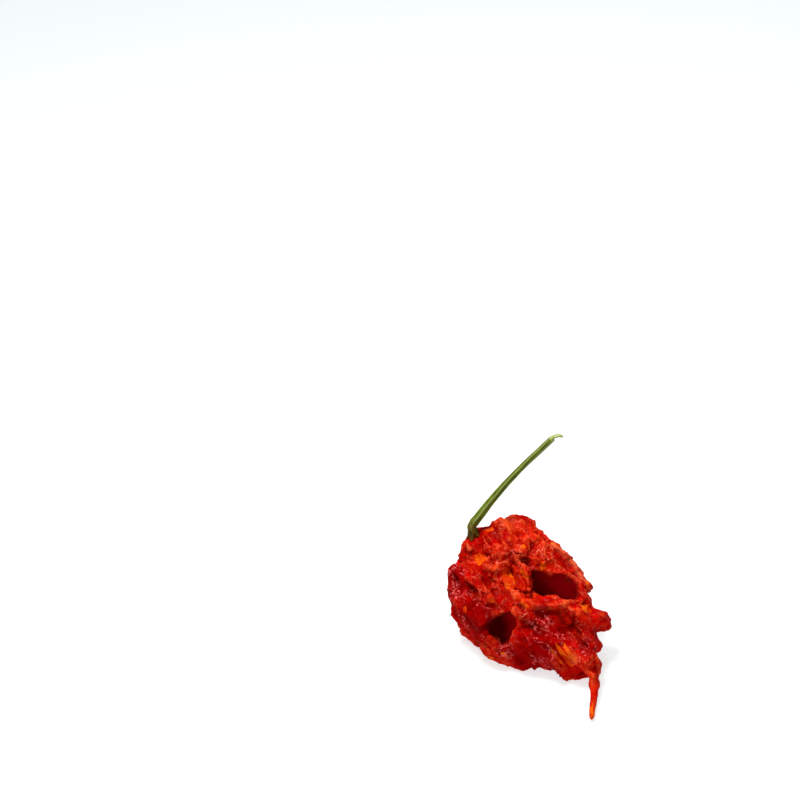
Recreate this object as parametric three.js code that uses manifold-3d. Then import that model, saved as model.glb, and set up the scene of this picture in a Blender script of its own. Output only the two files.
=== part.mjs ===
// A dried Carolina Reaper chilli lying on its side: a shrunken, folded pod with its tail, a calyx and a long stem.
// Millimetres, +Z up. Seen from -Y, the crown with the stem is at the upper left and the tail points down to the
// right. The pod rests on small flat spots at z = 0.
//
// The pod's body is a distance field: swollen lobes are chains of balls, blended together, the deep folds between
// them are chains that are carved out, and a net of wrinkles is raised on the skin. The field is turned into one
// closed mesh on a grid. The tail, the calyx and the stem are swept tubes and shells joined or fitted to it.
import * as THREE from "three";
import { ImprovedNoise } from "three/addons/math/ImprovedNoise.js";
import { mergeVertices } from "three/addons/utils/BufferGeometryUtils.js";
import Module from "manifold-3d";

const wasm = await Module();
wasm.setup();

// ---- Driving dimensions ------------------------------------------------------------------------------------

const GRID = 1.3; // mesh spacing of the pod's skin
const TOUCH_GAP = 0.3; // clearance between pieces that touch
const LOBE_BLEND = 2.6; // how softly neighbouring lobes run together
const FOLD_BLEND = 1.5; // rounding of a fold's rim
const WARP = { size: 9, reach: 1.8 }; // sideways wandering of every form
const PANELS = { size: 11, depth: 2.2 }; // the skin sinks between its broad ridges
const WRINKLES = { size: 5.2, depth: 1.25 }; // and again between the finer net of wrinkles
const GROWTH = [0.68, -0.61, -0.4]; // from the crown to the tail
const STRETCH = 0.4; // wrinkles are longer along the growth by this share
const SMOOTH_CROWN = { from: 2.7, to: 7.2 }; // the wrinkles set in over these distances from the calyx
const SETTLED = { height: 3.5, share: 0.7 }; // near the ground the wrinkles are pressed shallower by this share

// Each row is a chain of balls: [x, y, z, radius].
const LOBES = [
  // the shoulder that runs from the crown over the far side
  [[-10, 17, 18, 7.6], [-5, 17, 19.2, 9.9], [2, 12.8, 17.6, 8.1], [8.6, 6, 15.5, 6.6], [12.2, 2.8, 15, 4.9]],
  // the near left flank, from the crown down to the ground
  [[-14.3, 14, 16.6, 7.2], [-15, 8, 13.6, 8.2], [-13.4, 0, 10, 8.6], [-9, -5, 7.2, 7.8]],
  // the belly along the near lower edge, narrowing to the tail
  [[-9, -5, 7.2, 7.8], [-3, -8.7, 6.4, 7], [4, -10.6, 6.6, 6.2], [11, -14, 6, 6.4], [15, -15, 6.2, 5]],
  // and its end, from which the tail grows
  [[11, -14, 6, 6.4], [16.2, -16.8, 5, 4.4], [16.9, -20.6, 3.6, 1.9]],
  // the blunt nose that stands out between the two deep folds
  [[-3, -4, 13.5, 5.8], [6, -5, 13.6, 5.8], [13, -5.2, 12.6, 5.4], [18.7, -4.6, 11.6, 4.6]],
  // the web behind the notch between nose and belly
  [[0, -6, 9, 5.6], [10, -6.4, 9, 6.6], [15, -9, 8.4, 5]],
  // the thin rim that closes the cave on its right
  [[13, 3.4, 17.6, 2.9], [15, -0.6, 15, 2.2], [15.4, -2.6, 12.6, 2.2]],
  // the flesh in the middle
  [[-6, 6, 10, 9], [0, 4, 9, 9], [6, -2, 8.5, 8]],
  // the far side, down to the ground
  [[-11, 15, 8, 8], [-1, 16.5, 7.2, 8.2], [8, 9, 7.2, 7.8]],
];

const FOLDS = [
  // the wide cave under the shoulder, first its mouth and then its depth
  [[2.9, 2.3, 17, 3.7], [10, 0.8, 16, 3.6]],
  [[3.4, 6.6, 13.4, 3.4], [9.6, 5.4, 12.6, 3]],
  // the pit between the flank, the nose and the belly
  [[-7.5, -9.6, 11.4, 4.2], [-6.2, -4, 7.8, 3.2]],
  // the notch between the nose and the tail end of the belly
  [[19.9, -3, 4.2, 1.9], [19.9, -13.3, 12.2, 1.9]],
];

const CROWN = { at: [-15.4, 16.8, 22.6], up: [-0.16, 0.34, 0.93] }; // where the calyx sits

// The tail and the stem are swept along their points: [x, y, z, radius].
const TAIL = [
  [15, -15.6, 5.2, 2.6], [16.7, -19.7, 3.7, 1.9], [17.3, -22.6, 2.7, 1.45], [17.1, -26.6, 1.9, 1.15],
  [16.6, -30.4, 1.4, 0.9], [16.4, -33.4, 1.15, 0.65],
];
const STEM_FOOT = { radius: 1.35, waist: 1.12, height: 1.2 }; // it stands on the calyx, along CROWN.up
const STEM = [[-13.5, 18.9, 28.8, 1.05], [-9.2, 20.2, 34.6, 0.95], [-2.4, 21.4, 42.8, 0.85], [6.1, 22, 52.2, 0.95]];
// A torn fibre at the stem's cut end.
const STRAND = [[5.6, 22, 51.8, 0.55], [6.9, 22, 53, 0.45], [8, 22, 53.25, 0.42], [9, 22, 52.8, 0.35]];
const CALYX = { radius: 2.9, teeth: 5, toothLength: 0.8, thickness: 0.6, rimThickness: 0.45, clearance: 0.4 };
const BOSS = { height: 1.1, flatTo: 1.12, slopeTo: 1.82 }; // the calyx's middle rises to meet the stem

const FINISH = {
  pod: { color: 0xb01408, roughness: 0.45 },
  calyx: { color: 0x6b5a22, roughness: 0.7 },
  stem: { color: 0x6f7d1e, roughness: 0.6 },
};

// ---- Noise ---------------------------------------------------------------------------------------------------

const perlin = new ImprovedNoise();

const APART = [31.7, 17.3, 5.9]; // how far apart the fields of two seeds lie, in features

/** Smooth noise from -1 to 1 with features about `size` mm across; `seed` picks an independent field. */
function soft(x, y, z, size, seed) {
  return perlin.noise(...[x, y, z].map((c, axis) => c / size + APART[axis] * seed));
}

// ---- Distance field of the pod's body ------------------------------------------------------------------------

/** Distance to a chain of balls joined by tapered rods; negative inside. */
function chainDistance(chain, x, y, z) {
  let nearest = Infinity;
  for (let i = 0; i + 1 < chain.length; i++) {
    const [ax, ay, az, ar] = chain[i];
    const [bx, by, bz, br] = chain[i + 1];
    const [dx, dy, dz] = [bx - ax, by - ay, bz - az];
    const along = ((x - ax) * dx + (y - ay) * dy + (z - az) * dz) / (dx * dx + dy * dy + dz * dz);
    const t = Math.min(1, Math.max(0, along));
    const away = Math.hypot(x - ax - t * dx, y - ay - t * dy, z - az - t * dz);
    nearest = Math.min(nearest, away - ar - t * (br - ar));
  }
  return nearest;
}

/** The smaller of two distances, rounded over `blend` mm where they are close. */
function softMin(a, b, blend) {
  const h = Math.max(blend - Math.abs(a - b), 0) / blend;
  return Math.min(a, b) - (h * h * blend) / 4;
}

const softMax = (a, b, blend) => -softMin(-a, -b, blend);

// Large odd numbers that scramble a cell's place into one that looks random.
const SCRAMBLE = [374761393, 668265263, 1274126177, 974634777, 2246822519];

/** Pseudo-random share from 0 to 1 for a cell of space; `salt` picks an independent one. */
function share(...cellAndSalt) {
  let h = cellAndSalt.reduce((sum, n, axis) => sum ^ Math.imul(n, SCRAMBLE[axis]), 0);
  h = Math.imul(h ^ (h >>> 13), SCRAMBLE[2]);
  h = Math.imul(h ^ (h >>> 15), SCRAMBLE[4]);
  return ((h ^ (h >>> 16)) >>> 0) / 2 ** 32;
}

const CELL_SLOPE = 0.7; // how far a cell's slope reaches in from its border, as a share of its size

/** 0 on the borders of scattered cells about `size` mm wide, rising to 1 towards their middles. */
function sunkenCells(x, y, z, size, seed) {
  const point = [x / size, y / size, z / size];
  const [ci, cj, ck] = point.map(Math.floor);
  let [nearest, second] = [Infinity, Infinity];
  for (let i = ci - 1; i <= ci + 1; i++)
    for (let j = cj - 1; j <= cj + 1; j++)
      for (let k = ck - 1; k <= ck + 1; k++) {
        const dx = i + share(i, j, k, seed) - point[0];
        const dy = j + share(i, j, k, seed + 1) - point[1];
        const dz = k + share(i, j, k, seed + 2) - point[2];
        const away = Math.hypot(dx, dy, dz);
        if (away < nearest) [nearest, second] = [away, nearest];
        else if (away < second) second = away;
      }
  const inward = Math.min(1, (second - nearest) / CELL_SLOPE);
  return inward * (2 - inward);
}

function bodyDistance(px, py, pz) {
  const x = px + WARP.reach * soft(px, py, pz, WARP.size, 1);
  const y = py + WARP.reach * soft(px, py, pz, WARP.size, 2);
  const z = pz + WARP.reach * soft(px, py, pz, WARP.size, 3);
  let flesh = Infinity;
  for (const chain of LOBES) flesh = softMin(flesh, chainDistance(chain, x, y, z), LOBE_BLEND);
  let fold = Infinity;
  for (const chain of FOLDS) fold = softMin(fold, chainDistance(chain, x, y, z), FOLD_BLEND);
  const along = STRETCH * (x * GROWTH[0] + y * GROWTH[1] + z * GROWTH[2]);
  const [sx, sy, sz] = [x - along * GROWTH[0], y - along * GROWTH[1], z - along * GROWTH[2]];
  const sunk =
    PANELS.depth * sunkenCells(sx, sy, sz, PANELS.size, 11) +
    WRINKLES.depth * sunkenCells(sx, sy, sz, WRINKLES.size, 23);
  const fromCrown = Math.hypot(px - CROWN.at[0], py - CROWN.at[1], pz - CROWN.at[2]);
  const settled = SETTLED.share * (1 - THREE.MathUtils.smoothstep(pz, 0, SETTLED.height));
  const wrinkled = THREE.MathUtils.smoothstep(fromCrown, SMOOTH_CROWN.from, SMOOTH_CROWN.to) * (1 - settled);
  return Math.max(softMax(flesh + sunk * wrinkled, -fold, FOLD_BLEND), -pz);
}

// ---- Meshing --------------------------------------------------------------------------------------------------

// A grid cell's edges, each as [axis, u, v]: it runs along `axis`, at the corner u, v of the two axes after it.
const CELL_EDGES = [0, 1, 2].flatMap((axis) => [[0, 0], [1, 0], [1, 1], [0, 1]].map(([u, v]) => [axis, u, v]));
const edgeNumber = (axis, u, v) => axis * 4 + (v ? 3 - u : u);

/** The numbers of the four edges round each of a cell's six faces, in turn, with the corner before each edge. */
const CELL_FACES = [0, 1, 2].flatMap((normal) =>
  [0, 1].map((side) => {
    const [a, b] = [(normal + 1) % 3, (normal + 2) % 3];
    const cornerAt = (ca, cb) => {
      const corner = [0, 0, 0];
      [corner[normal], corner[a], corner[b]] = [side, ca, cb];
      return corner;
    };
    const edgeAt = (axis, ca, cb) => {
      const corner = cornerAt(ca, cb);
      return edgeNumber(axis, corner[(axis + 1) % 3], corner[(axis + 2) % 3]);
    };
    return {
      corners: [cornerAt(0, 0), cornerAt(1, 0), cornerAt(1, 1), cornerAt(0, 1)],
      edges: [edgeAt(a, 0, 0), edgeAt(b, 1, 0), edgeAt(a, 0, 1), edgeAt(b, 0, 0)],
    };
  }),
);

/**
 * One mesh of the surface where distance = 0 inside `box`. A cell of the grid gets a vertex for each sheet of the
 * surface that crosses it, and an edge of the grid that the surface crosses gets two triangles.
 */
function skinOf(distance, box, step) {
  const size = box.getSize(new THREE.Vector3());
  const counts = size.toArray().map((s) => Math.ceil(s / step) + 1);
  const [nx, ny, nz] = counts;
  const at = (i, j, k) => (k * ny + j) * nx + i;
  const place = (i, j, k) => [box.min.x + i * step, box.min.y + j * step, box.min.z + k * step];
  const eachCell = (from, visit) => {
    for (let k = from; k + 1 < nz; k++)
      for (let j = from; j + 1 < ny; j++) for (let i = from; i + 1 < nx; i++) visit(i, j, k);
  };
  const value = new Float64Array(nx * ny * nz);
  for (let k = 0; k < nz; k++)
    for (let j = 0; j < ny; j++)
      for (let i = 0; i < nx; i++) value[at(i, j, k)] = distance(...place(i, j, k));

  const positions = [];
  const vertexAt = new Int32Array(12 * nx * ny * nz);
  eachCell(0, (i, j, k) => {
    const inside = (corner) => value[at(i + corner[0], j + corner[1], k + corner[2])] < 0;
    const sheet = CELL_EDGES.map((_, n) => n);
    const join = (a, b) => {
      const [from, to] = [sheet[a], sheet[b]];
      for (let n = 0; n < 12; n++) if (sheet[n] === from) sheet[n] = to;
    };
    for (const { corners, edges } of CELL_FACES) {
      const signs = corners.map(inside);
      const crossed = edges.filter((_, n) => signs[n] !== signs[(n + 1) % 4]);
      if (crossed.length === 2) join(...crossed);
      if (crossed.length === 4) {
        // two inside corners on a diagonal stay apart
        const first = signs[0] ? 3 : 0;
        join(edges[first], edges[(first + 1) % 4]);
        join(edges[(first + 2) % 4], edges[(first + 3) % 4]);
      }
    }
    const sums = new Map();
    CELL_EDGES.forEach(([axis, u, v], n) => {
      const a = [i, j, k];
      a[(axis + 1) % 3] += u;
      a[(axis + 2) % 3] += v;
      const b = [...a];
      b[axis] += 1;
      const [da, db] = [value[at(...a)], value[at(...b)]];
      if (da < 0 === db < 0) return;
      const crossing = a.slice();
      crossing[axis] += da / (da - db);
      const sum = sums.get(sheet[n]) ?? { point: [0, 0, 0], edges: [] };
      place(...crossing).forEach((c, m) => (sum.point[m] += c));
      sum.edges.push(n);
      sums.set(sheet[n], sum);
    });
    for (const { point, edges } of sums.values()) {
      for (const n of edges) vertexAt[12 * at(i, j, k) + n] = positions.length / 3;
      positions.push(...point.map((c) => c / edges.length));
    }
  });

  const triangles = [];
  const corner = (n) => new THREE.Vector3().fromArray(positions, n * 3);
  eachCell(1, (i, j, k) => {
    for (let axis = 0; axis < 3; axis++) {
      const next = [i, j, k];
      next[axis] += 1;
      const inside = value[at(i, j, k)] < 0;
      if (inside === value[at(...next)] < 0) continue;
      const ring = [[0, 0], [1, 0], [1, 1], [0, 1]].map(([u, v]) => {
        const cell = [i, j, k];
        cell[(axis + 1) % 3] -= u;
        cell[(axis + 2) % 3] -= v;
        return vertexAt[12 * at(...cell) + edgeNumber(axis, u, v)];
      });
      if (!inside) ring.reverse();
      const [a, b, c, d] = ring;
      const shortAC = corner(a).distanceTo(corner(c)) < corner(b).distanceTo(corner(d));
      triangles.push(...(shortAC ? [a, b, c, a, c, d] : [b, c, d, b, d, a]));
    }
  });
  return meshOf(positions, triangles);
}

// ---- Swept pieces ---------------------------------------------------------------------------------------------

const RIBS = { count: 5, height: 0.09 };
const TIP_LENGTH = 0.5; // of a tube's far end, in radii

/** A closed tube through rows of [x, y, z, radius], with ribs along it and a blunt point at its far end. */
function sweep(rows, { sides, stepsPerRow, ribHeight = 0 }) {
  const curve = new THREE.CatmullRomCurve3(rows.map((row) => new THREE.Vector3(...row)), false, "centripetal");
  const steps = (rows.length - 1) * stepsPerRow;
  const frames = curve.computeFrenetFrames(steps);
  const centre = (i) => curve.getPointAt(i / steps);
  const radii = new THREE.CatmullRomCurve3(rows.map((row) => new THREE.Vector3(row[3], 0, 0)));
  const radiusAt = (i) => radii.getPoint(curve.getUtoTmapping(i / steps)).x;
  const positions = [];
  for (let i = 0; i <= steps; i++) {
    for (let n = 0; n < sides; n++) {
      const turn = (n / sides) * 2 * Math.PI;
      const r = radiusAt(i) * (1 + ribHeight * Math.cos(RIBS.count * turn));
      const rim = centre(i).addScaledVector(frames.normals[i], r * Math.cos(turn));
      positions.push(...rim.addScaledVector(frames.binormals[i], r * Math.sin(turn)).toArray());
    }
  }
  const tip = centre(steps).addScaledVector(frames.tangents[steps], radiusAt(steps) * TIP_LENGTH);
  const ends = [centre(0), tip];
  positions.push(...ends.flatMap((end) => end.toArray()));
  const [first, last] = [(steps + 1) * sides, (steps + 1) * sides + 1];
  const triangles = [];
  for (let n = 0; n < sides; n++) {
    const m = (n + 1) % sides;
    triangles.push(first, m, n, last, steps * sides + n, steps * sides + m);
    for (let i = 0; i < steps; i++) {
      const [a, b] = [i * sides, (i + 1) * sides];
      triangles.push(a + n, a + m, b + m, a + n, b + m, b + n);
    }
  }
  return meshOf(positions, triangles);
}

function meshOf(positions, triangles) {
  const geometry = new THREE.BufferGeometry();
  geometry.setAttribute("position", new THREE.Float32BufferAttribute(positions, 3));
  geometry.setIndex(triangles);
  return geometry;
}

/** A manifold-3d solid of a closed geometry. */
function solidOf(geometry) {
  const merged = mergeVertices(geometry, 1e-4);
  const vertProperties = new Float32Array(merged.attributes.position.array);
  const triVerts = new Uint32Array(merged.index.array);
  return new wasm.Manifold(new wasm.Mesh({ numProp: 3, vertProperties, triVerts }));
}

/** The geometry of several closed geometries joined in one solid, without any bubble sealed inside it. */
function joined(...geometries) {
  const shells = geometries.map(solidOf).reduce((a, b) => a.add(b)).decompose();
  const mesh = shells.reduce((a, b) => (a.volume() > b.volume() ? a : b)).getMesh();
  return meshOf(Array.from(mesh.vertProperties), Array.from(mesh.triVerts));
}

const up = new THREE.Vector3(...CROWN.up).normalize();
const side = new THREE.Vector3(1, 0, 0).addScaledVector(up, -up.x).normalize();
const ahead = new THREE.Vector3().crossVectors(up, side);

/** `point` moved out from the crown's axis by r, in the direction `turn`. */
function awayFromAxis(point, r, turn) {
  return point.addScaledVector(side, r * Math.cos(turn)).addScaledVector(ahead, r * Math.sin(turn));
}

const ABOVE_ALL = 12; // well above the skin round the crown

/** The point just above the pod's skin, at r and `turn` round the crown's axis. */
function aboveCrown(podMesh, r, turn) {
  const start = awayFromAxis(new THREE.Vector3(...CROWN.at).addScaledVector(up, ABOVE_ALL), r, turn);
  const ray = new THREE.Raycaster(start, up.clone().negate());
  return start.addScaledVector(up, CALYX.clearance - ray.intersectObject(podMesh)[0].distance);
}

/** The calyx: a toothed cap that lies on the crown, with a boss in the middle for the stem. */
function calyxOn(podMesh) {
  const [rings, sides] = [8, 30];
  const [lower, upper] = [[aboveCrown(podMesh, 0, 0)], []];
  upper.push(lower[0].clone().addScaledVector(up, BOSS.height));
  for (let i = 1; i <= rings; i++)
    for (let n = 0; n < sides; n++) {
      const turn = (n / sides) * 2 * Math.PI;
      const tooth = Math.abs(Math.cos((CALYX.teeth * turn) / 2)) ** 3;
      const reach = CALYX.radius - CALYX.toothLength * (1 - tooth);
      const r = (i / rings) * reach;
      const base = aboveCrown(podMesh, r, turn);
      const rise = 1 - THREE.MathUtils.smoothstep(r, BOSS.flatTo, BOSS.slopeTo);
      const top = awayFromAxis(lower[0].clone().addScaledVector(up, BOSS.height), r, turn);
      const thickness = THREE.MathUtils.lerp(CALYX.thickness, CALYX.rimThickness, i / rings);
      upper.push(base.clone().addScaledVector(up, thickness).lerp(top, rise));
      lower.push(base);
    }
  const positions = [...lower, ...upper].flatMap((point) => point.toArray());
  const triangles = [];
  const half = lower.length;
  const at = (i, n) => 1 + (i - 1) * sides + (n % sides);
  const add = (a, b, c) => triangles.push(a, c, b, a + half, b + half, c + half);
  for (let n = 0; n < sides; n++) {
    add(0, at(1, n), at(1, n + 1));
    for (let i = 1; i < rings; i++) {
      add(at(i, n), at(i + 1, n), at(i + 1, n + 1));
      add(at(i, n), at(i + 1, n + 1), at(i, n + 1));
    }
    const [a, b] = [at(rings, n), at(rings, n + 1)];
    triangles.push(a, b, b + half, a, b + half, a + half);
  }
  return meshOf(positions, triangles);
}

// ---- The pepper -----------------------------------------------------------------------------------------------

function pieceOf(name, geometry) {
  const mesh = new THREE.Mesh(geometry, new THREE.MeshStandardMaterial({ ...FINISH[name], metalness: 0 }));
  mesh.name = name;
  return mesh;
}

const podBox = new THREE.Box3(new THREE.Vector3(-28, -24, -1.95), new THREE.Vector3(28, 32, 34));
const body = skinOf(bodyDistance, podBox, GRID);
const tail = sweep(TAIL, { sides: 12, stepsPerRow: 4 });
const pod = pieceOf("pod", joined(body, tail));
const calyx = pieceOf("calyx", calyxOn(pod));

const stemFoot = aboveCrown(pod, 0, 0).addScaledVector(up, BOSS.height + TOUCH_GAP);
const stemWaist = stemFoot.clone().addScaledVector(up, STEM_FOOT.height);
const stemRows = [[...stemFoot, STEM_FOOT.radius], [...stemWaist, STEM_FOOT.waist], ...STEM];
const stalk = sweep(stemRows, { sides: 15, stepsPerRow: 5, ribHeight: RIBS.height });
const strand = sweep(STRAND, { sides: 8, stepsPerRow: 3 });
const stem = pieceOf("stem", joined(stalk, strand));

const pepper = new THREE.Group();
pepper.add(pod, calyx, stem);

// The origin is under the middle of the whole object, on the surface that it rests on.
const bounds = new THREE.Box3().setFromObject(pepper, true);
const middle = bounds.getCenter(new THREE.Vector3());
pepper.position.set(-middle.x, -middle.y, -bounds.min.z);

export default pepper;
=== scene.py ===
import math

import bmesh
import bpy
import numpy as np
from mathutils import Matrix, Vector, noise
from mathutils.bvhtree import BVHTree


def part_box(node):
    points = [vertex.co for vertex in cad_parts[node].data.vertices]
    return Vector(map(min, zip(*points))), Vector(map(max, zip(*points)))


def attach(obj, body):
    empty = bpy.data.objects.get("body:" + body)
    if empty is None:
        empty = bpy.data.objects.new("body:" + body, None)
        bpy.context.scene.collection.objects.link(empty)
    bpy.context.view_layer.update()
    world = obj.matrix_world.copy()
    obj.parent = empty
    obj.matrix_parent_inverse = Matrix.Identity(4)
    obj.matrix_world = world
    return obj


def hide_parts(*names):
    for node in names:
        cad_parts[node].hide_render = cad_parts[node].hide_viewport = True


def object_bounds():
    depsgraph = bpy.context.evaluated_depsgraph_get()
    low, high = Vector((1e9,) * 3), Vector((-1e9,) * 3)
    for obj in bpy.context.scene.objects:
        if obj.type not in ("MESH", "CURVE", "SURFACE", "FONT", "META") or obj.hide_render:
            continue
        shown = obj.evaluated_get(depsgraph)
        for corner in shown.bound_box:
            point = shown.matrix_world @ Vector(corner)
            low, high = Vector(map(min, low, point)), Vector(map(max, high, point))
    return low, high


# A dried Carolina Reaper chilli on a pale floor: a crumpled pod with its tail, a small calyx and a ribbed
# stem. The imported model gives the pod's main form. Here its skin is shrivelled, and the calyx and stem are
# drawn finely.
# Lengths are in millimetres and turned into metres where a mesh or an object is made.

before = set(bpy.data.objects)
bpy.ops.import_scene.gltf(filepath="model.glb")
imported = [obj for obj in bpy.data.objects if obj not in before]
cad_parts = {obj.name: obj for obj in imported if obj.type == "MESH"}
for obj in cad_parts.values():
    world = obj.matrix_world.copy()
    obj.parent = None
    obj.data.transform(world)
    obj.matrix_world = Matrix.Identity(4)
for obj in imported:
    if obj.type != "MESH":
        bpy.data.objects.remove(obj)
cad_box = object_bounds()

MM = 0.001
WHITE = (1, 1, 1, 1)
BLACK = (0, 0, 0, 1)

# ---- Camera ---------------------------------------------------------------------------------------------

IMAGE_WIDTH = 800  # pixels, square
PIXELS_PER_MM = 3.75  # at the pepper
MIDDLE_PIXEL = (529, 571)  # where the middle of the pepper's box appears
VIEW_ELEVATION = math.radians(38)
LENS = 100  # focal length in millimetres
SENSOR = 36  # its width in millimetres
NEAREST = 0.01  # what the camera sees starts and ends at these distances, in metres
FARTHEST = 10


def ray_to(pixel):
    """From the camera to an image pixel, along the camera's own axes, in the sensor's millimetres."""
    size = SENSOR / IMAGE_WIDTH
    return Vector(((pixel[0] - IMAGE_WIDTH / 2) * size, (IMAGE_WIDTH / 2 - pixel[1]) * size, -LENS))


def make_camera():
    """The pepper is seen from the -Y side, from above, and stands right of and below the image's middle."""
    data = bpy.data.cameras.new("camera")
    data.lens = LENS
    data.sensor_width = SENSOR
    data.clip_start = NEAREST
    data.clip_end = FARTHEST
    camera = bpy.data.objects.new("camera", data)
    bpy.context.scene.collection.objects.link(camera)
    bpy.context.scene.camera = camera

    away = IMAGE_WIDTH / PIXELS_PER_MM / SENSOR * LENS
    middle = (cad_box[0] + cad_box[1]) / 2
    back = Vector((0, -math.cos(VIEW_ELEVATION), math.sin(VIEW_ELEVATION)))
    ray = ray_to(MIDDLE_PIXEL)
    to_ray = Vector((0, 0, -1)).rotation_difference(ray)
    camera.location = middle + back * (away * ray.length / LENS * MM)
    camera.rotation_mode = "QUATERNION"
    camera.rotation_quaternion = (-back).to_track_quat("-Z", "Y") @ to_ray.inverted()
    bpy.context.view_layer.update()
    return camera


camera = make_camera()


# ---- Growth ---------------------------------------------------------------------------------------------

GROWTH = np.array([0.68, -0.61, -0.4])  # from the crown to the tail
STRETCH = 1.8  # wrinkles are this much longer along the growth than across it


def stretched(points):
    """The points in a space where what grows from crown to tail is as long as it is wide."""
    return points - np.outer(points @ GROWTH * (1 - 1 / STRETCH), GROWTH)


# ---- Finishes -------------------------------------------------------------------------------------------


def paint(red, green, blue):
    """A colour given as it looks on a screen, 0 to 255, as a shader's linear colour, by the sRGB curve."""
    linear = [((c / 255 + 0.055) / 1.055) ** 2.4 if c > 10 else c / 255 / 12.92 for c in (red, green, blue)]
    return (*linear, 1)


# The skin's colours, from the ground up.
RED = paint(164, 0, 0)
BRIGHT_RED = paint(200, 0, 0)
# the dried skin's orange-reds, partly painted light on raised and lit places
DRY_LIT_RED = paint(224, 36, 6)
DRY_LIT_ORANGE = paint(244, 100, 36)
FACET_ORANGE = paint(222, 34, 6)
FACET_DARK = paint(134, 0, 0)
# painted shade: the darker red of the belly, the left side and under the lip
SIDE_SHADE_RED = paint(138, 0, 0)
# painted shade: darker red in the skin's low places and creases
LOW_SHADE_RED = paint(116, 0, 0)
FLAP_ORANGE = paint(212, 48, 2)
FLAP_YELLOW = paint(246, 104, 8)
# painted highlight along the skin's ridges, orange-red
CREST_HIGHLIGHT = paint(240, 90, 40)
# painted glints: pink streaks along the wrinkles
CREASE_GLINT = paint(244, 98, 62)
# painted highlight along the tops of the lip and the folds
FOLD_HIGHLIGHT = paint(246, 112, 66)
# painted glints, pink
GLINT_PINK = paint(255, 140, 112)
# painted shine: pink glints where the skin has painted shade
SHINE_PINK = paint(236, 96, 96)
SHADE_RED = paint(96, 0, 0)
# painted shade in the hollows, from their lit side to their darkest part
HOLLOW_SHADE_LIGHT = paint(112, 0, 6)
HOLLOW_SHADE_DARK = paint(42, 0, 0)

STEM_GREEN = paint(74, 88, 4)
STEM_LIGHT = paint(100, 116, 10)
# painted highlight along the stem's ribs
RIB_HIGHLIGHT = paint(172, 182, 96)
FOOT_BROWN = paint(104, 84, 16)
TORN_PALE = paint(176, 180, 104)

HUSK_DARK = paint(44, 38, 4)
HUSK_OLIVE = paint(76, 64, 8)
HUSK_RIM = paint(104, 70, 14)

# The skin's patterns. Sizes are in millimetres, and wrinkles have the size of their cells and their width.
WARP_SIZE = 2.2
WARP_REACH = 1.6
PATCH_SIZE = 2.6
SPREAD_SIZE = 1.6
FACET_SIZE = 1.5
TONE_SIZE = 2.6
CLUSTER_SIZE = 4.2
GLOOM_SIZE = 4
BROAD_WRINKLES = (2.8, 0.56)
FINE_WRINKLES = (1.8, 0.4)
# wrinkles that carry the painted shine, and are raised as bumps
SHINE_WRINKLES = (2.3, 0.62)
WRINKLE_SQUEEZE = 0.86  # how much of a wrinkle's length is taken out of the noise that draws it
WRINKLE_DETAIL = 0.8
RELIEF_DEPTH = 0.16
SCATTER_DEPTH = 0.8

STEM_GRAIN = (0.35, 0.06)  # size and depth
HUSK_GRAIN = (0.3, 0.08)


class Signal:
    """What comes out of a shader node. Arithmetic adds Math nodes, or Vector Math nodes to a vector."""

    def __init__(self, finish, socket):
        self.finish = finish
        self.socket = socket

    def maths(self, operation, *terms):
        vectors = any(isinstance(term, Signal) and term.socket.type == "VECTOR" for term in terms)
        kind = "ShaderNodeVectorMath" if vectors else "ShaderNodeMath"
        return self.finish.add(kind, {"operation": operation}, dict(enumerate(terms)))

    def __add__(self, other):
        return self.maths("ADD", self, other)

    def __radd__(self, other):
        return self.maths("ADD", other, self)

    def __sub__(self, other):
        return self.maths("SUBTRACT", self, other)

    def __rsub__(self, other):
        return self.maths("SUBTRACT", other, self)

    def __mul__(self, other):
        return self.maths("MULTIPLY", self, other)

    def __rmul__(self, other):
        return self.maths("MULTIPLY", other, self)

    def __truediv__(self, other):
        return self.maths("DIVIDE", self, other)

    def __rtruediv__(self, other):
        return self.maths("DIVIDE", other, self)

    def __pow__(self, other):
        return self.maths("POWER", self, other)

    def rising(self, low, high):
        """0 below low, 1 above high and eased between them; high may be the smaller."""
        limits = {"Value": self, "From Min": low, "From Max": high, "To Min": 0, "To Max": 1}
        return self.finish.add("ShaderNodeMapRange", {"interpolation_type": "SMOOTHSTEP"}, limits)


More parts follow.
